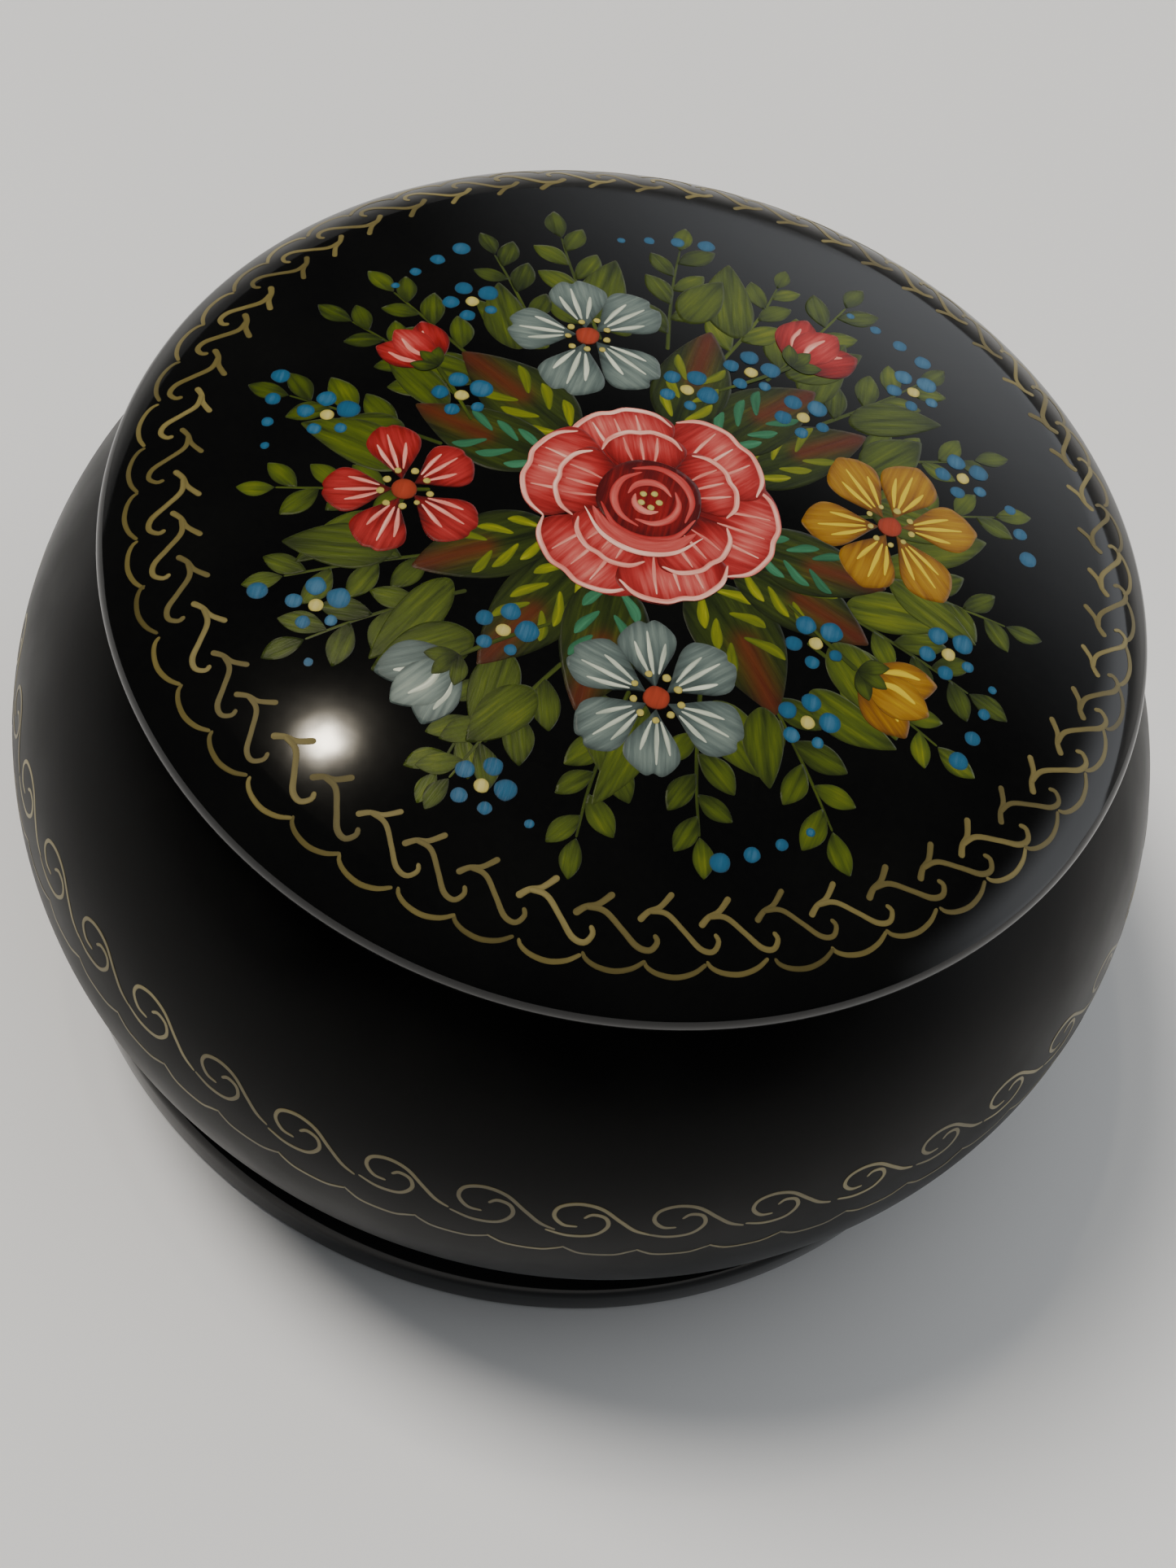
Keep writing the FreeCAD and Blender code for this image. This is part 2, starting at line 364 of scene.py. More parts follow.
floor_profile = [(0.0, FOOT_H), (FLOOR_R, FOOT_H), (FLOOR_R, FLOOR_TOP), (0.0, FLOOR_TOP)]
lid_inner_r = COLLAR_R + COLLAR_CLEARANCE
rim_profile = ([(lid_inner_r, LID_BOTTOM)]
               + arc((LID_R - NOSE_R, NOSE_Z), NOSE_R, -90.0, 90.0 - NOSE_END_SLOPE, 16)
               + [(lid_inner_r, EDGE_LID_Z)])
roll_arc = arc((ROLL_CENTRE_R, ROLL_CENTRE_Z), ROLL_R, 90.0 - NOSE_END_SLOPE,
               90.0 - DOME_EDGE_SLOPE, 14)
dome_arc = arc((0.0, DOME_CENTRE_Z), DOME_R, 90.0 - DOME_EDGE_SLOPE, 90.0, 30)
ceiling_radius = (lid_inner_r ** 2 + LID_CEILING_RISE ** 2) / (2.0 * LID_CEILING_RISE)
ceiling_half = math.degrees(math.asin(lid_inner_r / ceiling_radius))
ceiling = arc((0.0, EDGE_LID_Z + LID_CEILING_RISE - ceiling_radius), ceiling_radius,
              90.0, 90.0 - ceiling_half, 16)
plate_profile = ([(lid_inner_r, EDGE_LID_Z)] + roll_arc + dome_arc[1:-1]
                 + [(0.0, dome_arc[-1][1])] + [(0.0, ceiling[0][1])] + ceiling[1:-1])

# How many points at the end of a profile lie inside the bowl, where the lacquer is red.
LINED = {"lacquered_bowl_wall": len(inner_upper) + len(inner_lower) - 1,
         "lacquered_bowl_floor": 2}
# Name, profile, material, body, nodes that it replaces, slot.
TURNED = [
    ("lacquered_bowl_wall", bowl_profile, BLACK_SATIN, "bowl",
     ["bowl_wall_lower", "bowl_wall_upper"], "bowl_lacquer"),
    ("lacquered_bowl_floor", floor_profile, BLACK_SATIN, "bowl", ["bowl_floor"],
     "interior_lacquer"),
    ("lacquered_foot_ring", foot_profile, BLACK_FOOT, "bowl", ["foot_ring"], "foot_lacquer"),
    ("lacquered_collar", collar_profile, RED_INSIDE, "bowl", ["mouth_collar"], "interior_lacquer"),
    ("lacquered_lid_rim", rim_profile, BLACK_GLOSS, "lid", ["lid_rim"], "lid_lacquer"),
    ("lacquered_lid_plate", plate_profile, BLACK_GLOSS, "lid", ["lid_plate"], "lid_lacquer"),
]
for name, profile, material, body, nodes, slot in TURNED:
    piece = turned(name, profile, material, LINED.get(name, 0))
    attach(piece, body)
    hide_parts(*nodes)


# ---------------------------------------------------------------- brush strokes
SLOPE_STEP = 0.01     # distance over which a surface's slope is measured, mm
FLAT_MIDDLE_R = 0.05  # inside this radius the lid counts as level, mm
PAINT_BODY = 0.002    # how far a stroke swells above the height that it is lifted to, mm
EDGE_SINK = 0.03      # how deep the rim of a stroke is sunk into the lacquer, mm
INNER_RIM = 0.999     # a point whose rim value is below this is not on the rim


class Surface:
    """Where strokes are laid. place() turns flat (x, y) and a lift into space.

    half_x and half_y: how far the surface reaches from its middle, in flat millimetres.

    A coarse raster remembers how high the paint stands, so that a later stroke is lifted
    just clear of the ones under it. Strokes of one border all touch their neighbours, so they
    take turns at three low levels instead; otherwise the lift would build up round the ring."""

    CELL = 0.3      # side of a cell of the raster, mm
    STEP = 0.002    # height of one level, mm

    def __init__(self, place, half_x, half_y):
        self.place = place
        self.half = (half_x, half_y)
        self.height = np.zeros((int(2 * half_y / self.CELL) + 3, int(2 * half_x / self.CELL) + 3))

    def cells(self, flat):
        column = np.clip(((flat[:, 0] + self.half[0]) / self.CELL).astype(int) + 1, 1,
                         self.height.shape[1] - 2)
        row = np.clip(((flat[:, 1] + self.half[1]) / self.CELL).astype(int) + 1, 1,
                      self.height.shape[0] - 2)
        return row, column

    def lay(self, flat, body, level):
        """Lift that clears all paint under these points; the raster then holds its top."""
        row, column = self.cells(flat)
        lift = self.height[row, column].max() + self.STEP if level is None else self.STEP * level
        for dr in (-1, 0, 1):
            for dc in (-1, 0, 1):
                here = self.height[row + dr, column + dc]
                self.height[row + dr, column + dc] = np.maximum(here, lift + body)
        return lift


def on_lid(flat, lift):
    """x and y are those of the box; the lift is square to the lid's upper surface."""
    radius = np.hypot(flat[:, 0], flat[:, 1])
    inner = lid_height(np.maximum(radius - SLOPE_STEP, 0.0))
    slope = (lid_height(radius + SLOPE_STEP) - inner) / (2 * SLOPE_STEP)
    slope = np.where(radius < FLAT_MIDDLE_R, 0.0, slope)
    size = np.sqrt(1.0 + slope ** 2)
    outward = flat / np.maximum(radius, 1e-6)[:, None]
    side = -slope / size * lift
    return np.column_stack((flat + outward * side[:, None], lid_height(radius) + lift / size))


def on_bowl(flat, lift):
    """x runs round the bowl (mm along its belly circle), y is height on the wall."""
    angle = flat[:, 0] / BELLY_R
    height = flat[:, 1]
    radius = np.array([bowl_outer_radius(h) for h in height])
    lean = np.array([bowl_outer_radius(h + SLOPE_STEP) - bowl_outer_radius(h - SLOPE_STEP)
                     for h in height]) / (2 * SLOPE_STEP)
    size = np.sqrt(1.0 + lean ** 2)
    radius = radius + lift / size
    height = height - lean * lift / size
    return np.column_stack((radius * np.cos(angle), radius * np.sin(angle), height))


LID = Surface(on_lid, 44.0, 44.0)
BOWL = Surface(on_bowl, 160.0, 50.0)


def smooth(points, spacing, closed=False):
    """Points along a Catmull-Rom curve through control points of any dimension."""
    points = np.asarray(points, float)
    count = len(points)
    if count == 2 and not closed:
        points = np.array([points[0], (points[0] + points[1]) / 2, points[1]])
        count = 3
    if closed:
        padded = np.vstack((points[-1], points, points[0], points[1]))
        spans = count
    else:
        first = 2 * points[0] - points[1]
        last = 2 * points[-1] - points[-2]
        padded = np.vstack((first, points, last))
        spans = count - 1
    out = []
    for i in range(spans):
        a, b, c, d = padded[i:i + 4]
        steps = max(2, int(math.ceil(np.linalg.norm((c - b)[:2]) / spacing)))
        for t in np.arange(steps) / steps:
            out.append(0.5 * (2 * b + (c - a) * t + (2 * a - 5 * b + 4 * c - d) * t ** 2
                              + (3 * b - a - 3 * c + d) * t ** 3))
    if not closed:
        out.append(points[-1])
    return np.array(out)


class Piece:
    """One painted piece: the patches that share a material and ride on one body."""

    KEYS = ("tone", "blush", "along", "across", "seed", "rim")

    def __init__(self, name, surface, material, body):
        self.name, self.surface, self.material, self.body = name, surface, material, body
        self.vertices, self.faces = [], []
        self.values = {key: [] for key in self.KEYS}
        self.count = 0

    def patch(self, flat, grid, rim, along, across, tone, level=None, marks=()):
        """Adds one patch. flat: its points; grid: its faces; rim: 0 inside to 1 at its edge.

        marks: soft lines that change the patch's tone or blush, each as (channel, line, width,
        amount)."""
        inside = rim < INNER_RIM
        lift = self.surface.lay(flat[inside], PAINT_BODY, level)
        dome = 1.0 - np.clip(rim, 0, 1) ** 4
        rise = np.where(inside, lift + PAINT_BODY * dome, -EDGE_SINK)
        solid = self.surface.place(flat, rise)
        shade = {"tone": np.full(len(flat), tone), "blush": np.zeros(len(flat))}
        for channel, line, width, amount in marks:
            near = distance_to(flat, smooth(line, 0.4))
            shade[channel] = shade[channel] + np.exp(-(near / width) ** 2) * amount
        self.vertices.append(solid)
        self.faces.extend([[v + self.count for v in face] for face in grid])
        self.count += len(flat)
        seed = np.full(len(flat), random.uniform(0, 40))
        for key, value in zip(self.KEYS, (shade["tone"], shade["blush"], along, across, seed, rim)):
            self.values[key].append(value)

    def stroke(self, line, widths, spacing=0.3, ragged=0.0, **look):
        """Brush stroke along a line. widths: half-width at each of the line's points."""
        widths = np.asarray(widths, float)
        path = smooth(np.column_stack((line, widths)), spacing)
        length = np.concatenate(([0], np.cumsum(np.linalg.norm(np.diff(path[:, :2], axis=0),
                                                               axis=1))))
        total = length[-1]
        biggest = widths.max()
        cap = min(biggest, total * 0.5)
        stations = stations_for(total, cap, spacing)
        centre = np.column_stack([np.interp(stations, length, path[:, k]) for k in range(2)])
        left = right = np.interp(stations, length, path[:, 2])
        end = np.minimum(stations, total - stations) / cap
        closing = np.sqrt(np.clip(1 - (1 - np.clip(end, 0, 1)) ** 2, 0, 1))
        if ragged:
            wobble = 1 + ragged * ripple(stations)
            left, right = left * wobble, right * (2 - wobble)
        tangent = np.gradient(centre, axis=0)
        tangent /= np.maximum(np.linalg.norm(tangent, axis=1), 1e-9)[:, None]
        normal = np.column_stack((-tangent[:, 1], tangent[:, 0]))
        columns = max(3, int(math.ceil(biggest / spacing)))
        lanes = np.concatenate(([-1.0], np.linspace(-0.94, 0.94, 2 * columns + 1), [1.0]))
        wide = len(lanes)
        rows, rim, along, across = [], [1.0], [0.0], [0.0]
        for k in range(1, len(stations) - 1):
            reach = np.where(lanes < 0, right[k], left[k])
            rows.append(centre[k] + normal[k] * (lanes * (reach * closing[k]))[:, None])
            toward_end = 1 - min(1.0, min(stations[k], total - stations[k]) / cap)
            rim.extend(np.maximum(np.abs(lanes), toward_end ** 3 * 0.95))
            along.extend([stations[k]] * wide)
            across.extend(lanes * reach)
        flat = np.vstack([centre[:1]] + rows + [centre[-1:]])
        grid = []
        last = 1 + wide * len(rows)
        for j in range(wide - 1):
            grid.append([0, 1 + j, 2 + j])
            grid.append([last, last - wide + j + 1, last - wide + j])
            for i in range(len(rows) - 1):
                a = 1 + i * wide + j
                grid.append([a, a + wide, a + wide + 1, a + 1])
        self.patch(flat, grid, np.array(rim + [1.0]), np.array(along + [total]),
                   np.array(across + [0.0]), **look)

    def blob(self, outline, heading=90.0, spacing=0.3, **look):
        """Filled shape with a smooth outline that can be seen whole from its middle."""
        edge = smooth(outline, spacing, closed=True)
        x, y = edge[:, 0], edge[:, 1]
        if np.sum(x * np.roll(y, -1) - np.roll(x, -1) * y) < 0:
            edge = edge[::-1]
        middle = edge.mean(axis=0)
        reach = np.linalg.norm(edge - middle, axis=1).max()
        rings = max(3, int(reach / spacing))
        shares = list(np.linspace(0, 0.95, rings + 1)[1:]) + [1.0]
        wide = len(edge)
        flat = np.vstack([middle[None, :]] + [middle + (edge - middle) * s for s in shares])
        rim = np.concatenate([[0.0]] + [np.full(wide, s) for s in shares])
        grid = []
        for j in range(wide):
            m = (j + 1) % wide
            grid.append([0, 1 + j, 1 + m])
            for i in range(len(shares) - 1):
                a = 1 + i * wide
                b = a + wide
                grid.append([a + j, b + j, b + m, a + m])
        angle = math.radians(heading)
        local = flat - middle
        along = local[:, 0] * math.cos(angle) + local[:, 1] * math.sin(angle)
        across = -local[:, 0] * math.sin(angle) + local[:, 1] * math.cos(angle)
        self.patch(flat, grid, rim, along - along.min(), across, **look)

    def dot(self, x, y, radius, **look):
        """Round touch of the brush, a little uneven."""
        outline = []
        for k in range(9):
            a = 2 * math.pi * k / 9
            reach = radius * random.uniform(0.93, 1.06)
            outline.append((x + reach * math.cos(a), y + reach * math.sin(a)))
        self.blob(outline, spacing=min(0.3, radius * 0.4), **look)

    def finish(self):
        """Makes the object, once all its strokes are laid."""
        values = {key: np.concatenate(value) for key, value in self.values.items()}
        piece = make_mesh(self.name, np.vstack(self.vertices), self.faces, self.material, values)
        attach(piece, self.body)


def ripple(stations):
    """Slow uneven change along a stroke, between -1 and 1."""
    phase = random.uniform(0, 6.28)
    return 0.6 * np.sin(stations * 1.7 + phase) + 0.4 * np.sin(stations * 3.9 + 2 * phase)


def stations_for(total, cap, spacing):
    """Distances along a stroke, closer together where its ends round off."""
    curve = [cap * (1 - math.cos(math.radians(a))) for a in (0, 18, 36, 54, 72)]
    middle = list(np.linspace(cap, total - cap, max(2, int((total - 2 * cap) / spacing) + 2)))
    return np.array(curve + middle + [total - c for c in curve[::-1]])


def distance_to(flat, path):
    """Distance from each point to a polyline."""
    best = np.full(len(flat), 1e9)
    for a, b in zip(path[:-1], path[1:]):
        step = b - a
        share = np.clip(((flat - a) @ step) / max(step @ step, 1e-12), 0, 1)
        best = np.minimum(best, np.linalg.norm(flat - a - share[:, None] * step, axis=1))
    return best


# ---------------------------------------------------------------- gold borders
HOOKS, SCROLLS, LOWER_ARCS = 54, 41, 54
# Points of one hook: degrees round the lid and millimetres outward, with its relative widths.
HOOK_BAR = [(0.0, 0.0), (1.2, -0.7), (2.7, -1.1), (4.4, -2.1)]
HOOK_STEM = [(1.2, -0.75), (3.5, -0.65), (5.7, 0.5), (7.5, 1.6), (9.0, 1.8), (9.8, 1.15),
             (9.4, 0.6)]
HOOK_WIDTHS = ([1.25, 1.05, 1.0, 1.15], [1.0, 1.0, 0.95, 1.05, 1.0, 0.9, 0.8])
HOOK_UNIT = 7.4               # spacing of the hooks that these points are drawn for, degrees
HOOK_RING_R = 37.45
HOOK_RING_SHIFT = (0.4, 1.8)  # the hand-painted rings are a little off the lid's middle, mm
SCALLOP_RING_SHIFT = (0.0, 1.0)
# Points of one scroll: millimetres round the belly and up.
SCROLL_IN = [(-2.4, -1.5), (-0.6, -2.0), (1.2, -1.7), (2.1, -0.5), (1.8, 0.6), (0.8, 0.9),
             (0.2, 0.4)]
SCROLL_OUT = [(-0.1, -0.7), (-1.2, -0.6), (-2.0, 0.4), (-1.7, 1.5), (-0.3, 2.0), (1.4, 1.6),
              (3.0, 0.2), (4.2, -0.9), (5.4, -1.5)]
SCROLL_Z, LOWER_LINE_Z = 29.2, 24.8
AROUND_BOWL = 2 * math.pi * BELLY_R


def ring_point(angle, radius, shift):
    """Point of a ring on the lid whose middle is shifted off the lid's middle."""
    return (shift[0] + radius * math.cos(math.radians(angle)),
            shift[1] + radius * math.sin(math.radians(angle)))


def uneven(k):
    """Change of tone from unit to unit of a border, as the brush runs dry and is refilled."""
    return 0.14 * math.sin(2.4 * k) + 0.05 * math.sin(0.5 * k)


def low_level(k, upper=0):
    """Level of a border's stroke. The units, which touch their neighbours, take turns at three;
    upper raises the second stroke of a unit above its first."""
    return 2 + 4 * (k % 3) + 2 * upper


def paint_hook(piece, k, pitch):
    """Hook of the lid's border: a short bar, and a long stem that curls back."""
    start = k * pitch + random.uniform(-0.4, 0.4)
    size = random.uniform(0.93, 1.05) * pitch / HOOK_UNIT
    tall = random.uniform(0.9, 1.08) * (0.92 - 0.14 * math.sin(math.radians(start)))
    out = HOOK_RING_R + random.uniform(-0.15, 0.15)
    width = random.uniform(0.2, 0.25)
    for upper, (path, widths) in enumerate(zip((HOOK_BAR, HOOK_STEM), HOOK_WIDTHS)):
        line = [ring_point(start + a * size, out + r * tall, HOOK_RING_SHIFT) for a, r in path]
        piece.stroke(line, [width * w for w in widths], spacing=0.2, tone=0.46 + uneven(k),
                     level=low_level(k, upper))


def paint_scallop(piece, k, pitch):
    """Shallow arch of the line outside the hooks."""
    left = k * pitch + 2.0 + random.uniform(-0.3, 0.3)
    low = random.uniform(39.75, 39.95)
    arch = [(0.0, low - 0.45), (0.4, low), (1.6, low + 0.4), (3.4, low + 0.55), (5.2, low + 0.25),
            (pitch - 0.1, low - 0.35)]
    piece.stroke([ring_point(left + a, r, SCALLOP_RING_SHIFT) for a, r in arch],
                 [0.13, 0.17, 0.19, 0.2, 0.19, 0.15], spacing=0.22, tone=0.4 + uneven(k + 5),
                 level=low_level(k))


def paint_scroll(piece, k, pitch):
    """Running scroll of the bowl's border: one stroke curls in and the next curls out."""
    centre_x = -AROUND_BOWL / 2 + (k + 0.5) * pitch + random.uniform(-0.2, 0.2)
    centre_z = SCROLL_Z + random.uniform(-0.15, 0.15)
    size = random.uniform(0.9, 1.06)
    for upper, path in enumerate((SCROLL_IN, SCROLL_OUT)):
        piece.stroke([(centre_x + a * size, centre_z + b * size) for a, b in path],
                     [0.12] + [0.18] * (len(path) - 2) + [0.12], spacing=0.2,
                     tone=0.64 + uneven(k), level=low_level(k, upper))


def paint_lower_arch(piece, k, pitch):
    """Shallow hanging arch of the thin line under the scrolls."""
    left = -AROUND_BOWL / 2 + k * pitch
    dip = random.uniform(0.45, 0.7)
    arch = [(-0.1, 0.4), (0.4, 0.0), (1.6, -dip), (4.0, -dip), (pitch - 0.7, -0.1), (pitch, 0.3)]
    piece.stroke([(left + a, LOWER_LINE_Z + b) for a, b in arch],
                 [0.1, 0.13, 0.15, 0.15, 0.14, 0.1], spacing=0.22, tone=0.56 + uneven(k + 5),
                 level=low_level(k))


hooks = Piece("lid_hook_border", LID, GOLD, "lid")
scallops = Piece("lid_scallop_line", LID, GOLD, "lid")
for k in range(HOOKS):
    paint_hook(hooks, k, 360.0 / HOOKS)
    paint_scallop(scallops, k, 360.0 / HOOKS)
hooks.finish()
scallops.finish()

scroll = Piece("bowl_scroll", BOWL, GOLD, "bowl")
lower_line = Piece("bowl_scallop_line", BOWL, GOLD, "bowl")
for k in range(SCROLLS):
    paint_scroll(scroll, k, AROUND_BOWL / SCROLLS)
for k in range(LOWER_ARCS):
    paint_lower_arch(lower_line, k, AROUND_BOWL / LOWER_ARCS)
scroll.finish()
lower_line.finish()

# ---------------------------------------------------------------- shapes of petals and leaves
TIPWARD, EVEN, ROOTWARD = 1.6, 1.05, 0.74   # where along its length an outline is widest
SIDE_SHARES = (0.04, 0.16, 0.34, 0.52, 0.7, 0.86, 0.96)


def placed(points, x, y, heading):
    """Local (along, across) points turned to a heading in degrees and moved to (x, y)."""
    c, s = math.cos(math.radians(heading)), math.sin(math.radians(heading))
    return [(x + u * c - v * s, y + u * s + v * c) for u, v in points]


def around(centre, angle, distance):
    """Point at an angle and a distance from a centre."""
    return placed([(distance, 0.0)], centre[0], centre[1], angle)[0]


def petal_outline(length, width, form, notch, bend):
    """Outline of a petal or leaf from its root to its tip and back, in its own frame."""
    side = [(t * length, width * math.sin(math.pi * t ** form) ** 0.8) for t in SIDE_SHARES]
    tip = [(length * (1.0 - notch), 0.0)]
    outline = [(0.0, 0.0)] + side + tip + [(u, -v) for u, v in side[::-1]]
    return [(u, v + bend * math.sin(math.pi * u / length)) for u, v in outline]


def brushed(piece, x, y, heading, local, width, tone):
    """Tapering stroke through points given in the frame of the petal it lies on."""
    widths = [width * 0.35] + [width] * (len(local) - 2) + [width * 0.35]
    piece.stroke(placed(local, x, y, heading), widths, tone=tone, ragged=0.06)


def petal(piece, x, y, heading, length, width, form=TIPWARD, notch=0.0, tone=0.5, root=-0.25,
          marks=()):
    """One petal. root: how much lighter its root is than the rest, below 0 for darker."""
    bend = random.uniform(-0.06, 0.06) * length
    outline = placed(petal_outline(length, width, form, notch, bend), x, y, heading)
    shade = placed([(0.0, 0.0), (length * 0.3, 0.0)], x, y, heading)
    piece.blob(outline, heading, tone=tone, marks=[("tone", shade, width * 0.8, root), *marks])


def leaf(piece, x, y, heading, length, width, tone=0.5, blush=0.0, veins=None, vein_tone=0.8):
    """Pointed leaf with a dark midrib; veins is the piece that its light strokes belong to."""
    bend = random.uniform(-0.07, 0.07) * length
    outline = placed(petal_outline(length, width, ROOTWARD, 0.0, bend), x, y, heading)
    midrib = placed([(length * 0.1, 0.0), (length * 0.5, bend), (length * 0.9, 0.0)], x, y, heading)
    tip = placed([(length * 0.5, bend), (length * 0.92, 0.0)], x, y, heading)
    piece.blob(outline, heading, tone=tone, marks=[("tone", midrib, width * 0.14, -0.16),
                                                   ("blush", tip, width * 0.42, blush)])
    if veins is None:
        return
    for side in (-1, 1):
        for start in (0.1, 0.28, 0.46):
            reach = random.uniform(0.17, 0.23)
            local = [(length * start, bend * 0.5 + side * width * 0.16),
                     (length * (start + reach * 0.6), bend + side * width * 0.5),
                     (length * (start + reach), bend + side * width * 0.62)]
            brushed(veins, x, y, heading, local, width * 0.14, vein_tone - start * 0.4)


def spray(piece, x, y, heading, length, leaves, bend, tone):
    """Thin curved twig with small leaves on both sides and one at its tip."""
    spine = [(length * t, bend * math.sin(math.pi * t / 2)) for t in (0.0, 0.35, 0.7, 1.0)]
    piece.stroke(placed(spine, x, y, heading), [0.2, 0.17, 0.14, 0.1], tone=tone - 0.15)
    for k in range(leaves + 1):
        share = (k + 1) / (leaves + 1)
        turned_by = 0 if k == leaves else random.uniform(34, 48) * (-1) ** k
        root = placed([(length * share, bend * math.sin(math.pi * share / 2))], x, y, heading)[0]
        size = length * (0.38 - 0.1 * share) * random.uniform(0.85, 1.1)
        petal(piece, *root, heading + turned_by, size, size * 0.26, form=EVEN, root=-0.12,
              tone=tone + random.uniform(-0.1, 0.1))


def open_flower(piece, centre, turn, count, length, width, notch, tone):
    """Ring of petals, each with three light strokes that fan out from its root."""
    for k in range(count):
        heading = turn + 360.0 * k / count + random.uniform(-5, 5)
        long = length * random.uniform(0.92, 1.07)
        wide = width * random.uniform(0.92, 1.06)
        root = around(centre, heading, 0.7)
        petal(piece, *root, heading, long, wide, notch=notch, tone=tone)
        for lean, reach in ((-0.5, 0.62), (0.05, 0.8), (0.5, 0.66)):
            local = [(long * 0.2, lean * wide * 0.3), (long * 0.45, lean * wide * 0.75),
                     (long * reach, lean * wide)]
            brushed(piece, *root, heading, local, wide * 0.09, tone + 0.42)


def bud(piece, green, x, y, heading, size, tone):
    """Half-open flower from the side: two back petals, one in front, calyx and stem."""
    stem = [(-size * 1.1, size * 0.3), (-size * 0.5, size * 0.12), (0.0, 0.0)]
    green.stroke(placed(stem, x, y, heading), [0.14, 0.2, 0.22], tone=0.35)
    for spread, lighter in ((-26, -0.12), (26, -0.04), (0, 0.08)):
        petal(piece, x, y, heading + spread, size, size * 0.3, form=1.25, tone=tone + lighter)
        local = [(size * 0.25, 0.0), (size * 0.5, size * 0.08), (size * 0.78, size * 0.04)]
        brushed(piece, x, y, heading + spread, local, size * 0.05, tone + 0.4)
    for spread in (-42, 0, 42):
        petal(green, x, y, heading + spread, size * 0.42, size * 0.11, form=EVEN, tone=0.45)


def ring_arc(centre, radius, start, sweep):
    """Five points along an arc round a centre; angles in degrees."""
    return [around(centre, start + sweep * k / 4, radius) for k in range(5)]


def rose(piece, centre, size):
    """Two rings of broad petals with pale rims, round a dark cup with curled strokes."""
    for ring, count, reach, tone in ((0, 6, 1.0, 0.48), (1, 5, 0.74, 0.4)):
        for k in range(count):
            heading = 360.0 * (k + 0.5 * ring) / count + random.uniform(-6, 6)
            long = size * reach * random.uniform(0.95, 1.05)
            wide = long * 0.46
            tip = placed([(long * 0.72, -wide * 0.3), (long * 0.82, wide * 0.3)], *centre, heading)
            petal(piece, *centre, heading, long, wide, form=2.0, notch=0.05, tone=tone, root=-0.4,
                  marks=[("tone", tip, size * 0.16, 0.26)])
            rim = petal_outline(long * 0.97, wide * 0.94, 2.0, 0.05, 0.0)[5:12]
            brushed(piece, *centre, heading, rim, size * 0.022, 0.9)
            for lean in (-0.4, 0.0, 0.4):
                local = [(long * 0.5, lean * wide * 0.6), (long * 0.68, lean * wide * 0.85),
                         (long * 0.86, lean * wide)]
                brushed(piece, *centre, heading, local, size * 0.017, tone + 0.38)
    piece.dot(*centre, size * 0.4, tone=0.16)
    for k in range(6):
        radius = size * (0.37 - 0.05 * k)
        line = ring_arc(centre, radius, 200 + 137 * k, 150)
        piece.stroke(line, [size * w for w in (0.008, 0.026, 0.036, 0.026, 0.008)],
                     tone=0.5 + 0.04 * k)
    for radius, width, tone in ((0.44, 0.08, 0.6), (0.5, 0.025, 0.98)):
        line = ring_arc(centre, size * radius, 205, 130)
        piece.stroke(line, [size * width * w for w in (0.15, 0.8, 1.0, 0.8, 0.15)], tone=tone)


# ---------------------------------------------------------------- the bouquet
MIDDLE = (0.0, 0.0)
ROSE_SIZE = 10.5
# Open flowers: name, paint, angle and distance from the middle, number of petals, their length,
# width and notch, tone.
FLOWERS = [
    ("white_blossom_rear", WHITE, 118, 18.0, 5, 6.4, 2.7, 0.10, 0.46),
    ("white_blossom_front", WHITE, 284, 18.0, 6, 6.6, 2.4, 0.08, 0.44),
    ("yellow_blossom", YELLOW, 14, 19.5, 6, 6.8, 2.4, 0.0, 0.62),
    ("red_blossom", ROSE, 194, 19.0, 5, 6.0, 2.4, 0.06, 0.42),
]
# Buds: name, paint, angle and distance of the root, size, tone.
BUDS = [
    ("red_bud_rear", ROSE, 66, 20.5, 6.5, 0.46), ("red_bud_left", ROSE, 156, 21.0, 5.5, 0.46),
    ("yellow_bud", YELLOW, 332, 21.0, 6.5, 0.6), ("white_bud", WHITE, 240, 21.0, 6.5, 0.5),
]
# Middles and radii of the round spots that are no longer free.
taken = [(MIDDLE, ROSE_SIZE)]
taken += [(around(MIDDLE, row[2], row[3]), row[5] + 0.5) for row in FLOWERS]
taken += [(around(MIDDLE, row[2], row[3] + row[4] * 0.5), row[4] * 0.55) for row in BUDS]


def clear(spot, reach):
    """Whether a round spot stays off the flowers and off what was put down before it."""
    return all(math.dist(spot, centre) > size + reach for centre, size in taken)


SPRAYS, PLAIN_LEAVES, BLUE_FLOWERS = 22, 30, 14
BLUE_TRIES, BLUE_REACH = 140, 2.1
GOLDEN_ANGLE = 137.5    # degrees; turning by it each time spreads spots evenly all round
DISTANCE_STEP = 0.7549  # adding it each time, modulo 1, spreads their distances evenly

sprays = Piece("leaf_sprays", LID, LEAF, "lid")
for k in range(SPRAYS):
    angle = 360.0 * k / SPRAYS + random.uniform(-3, 3)
    root = around(MIDDLE, angle, random.uniform(16.5, 18.0))
    spray(sprays, *root, angle + random.uniform(-10, 10), random.uniform(11.5, 13.6), 6,
          random.uniform(-1.8, 1.8), random.uniform(0.42, 0.58))
sprays.finish()

plain = Piece("plain_leaves", LID, LEAF, "lid")
for k in range(PLAIN_LEAVES):
    angle = 360.0 * k / PLAIN_LEAVES + 8 + random.uniform(-3, 3)
    root = around(MIDDLE, angle, random.uniform(17.0, 20.5))
    leaf(plain, *root, angle + 22 * (-1) ** k, random.uniform(6.8, 9.8), random.uniform(1.6, 2.3),
         tone=random.uniform(0.44, 0.62))
plain.finish()

